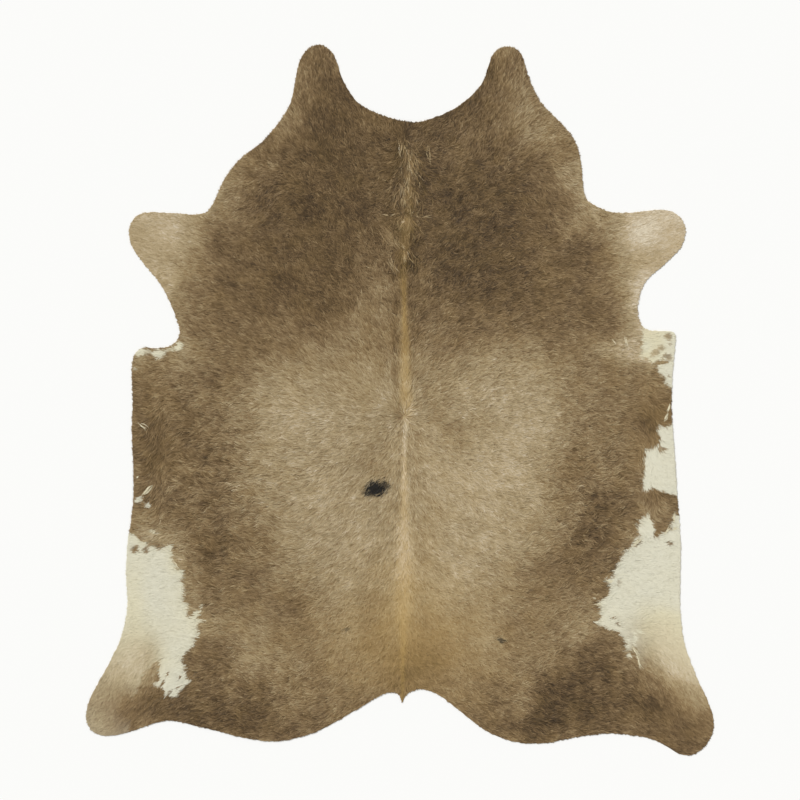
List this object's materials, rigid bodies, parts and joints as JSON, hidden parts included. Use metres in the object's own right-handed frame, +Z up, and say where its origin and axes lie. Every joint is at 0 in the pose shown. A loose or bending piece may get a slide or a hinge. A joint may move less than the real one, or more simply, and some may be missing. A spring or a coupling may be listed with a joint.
{
  "type": "cowhide rug",
  "caption": "Whole cowhide rug tanned with the hair on, trimmed along the natural outline of neck, legs and tail, lying flat with the hair up.",
  "frame": {"origin": "middle of the rug's outline, on the flesh side where it lies on the floor", "axes": "+Z up out of the hair side, +Y along the spine from the tail towards the neck, +X to the right seen from above with the neck ahead"},
  "size_m": [2.0372, 2.3084, 0.0063],
  "materials": {
    "hide": "hair-on cattle hide: short taupe brown coat with cream flank patches and a golden spine, suede flesh side"
  },
  "bodies": {
    "root": {"hide": "hide"}
  },
  "joints": []
}
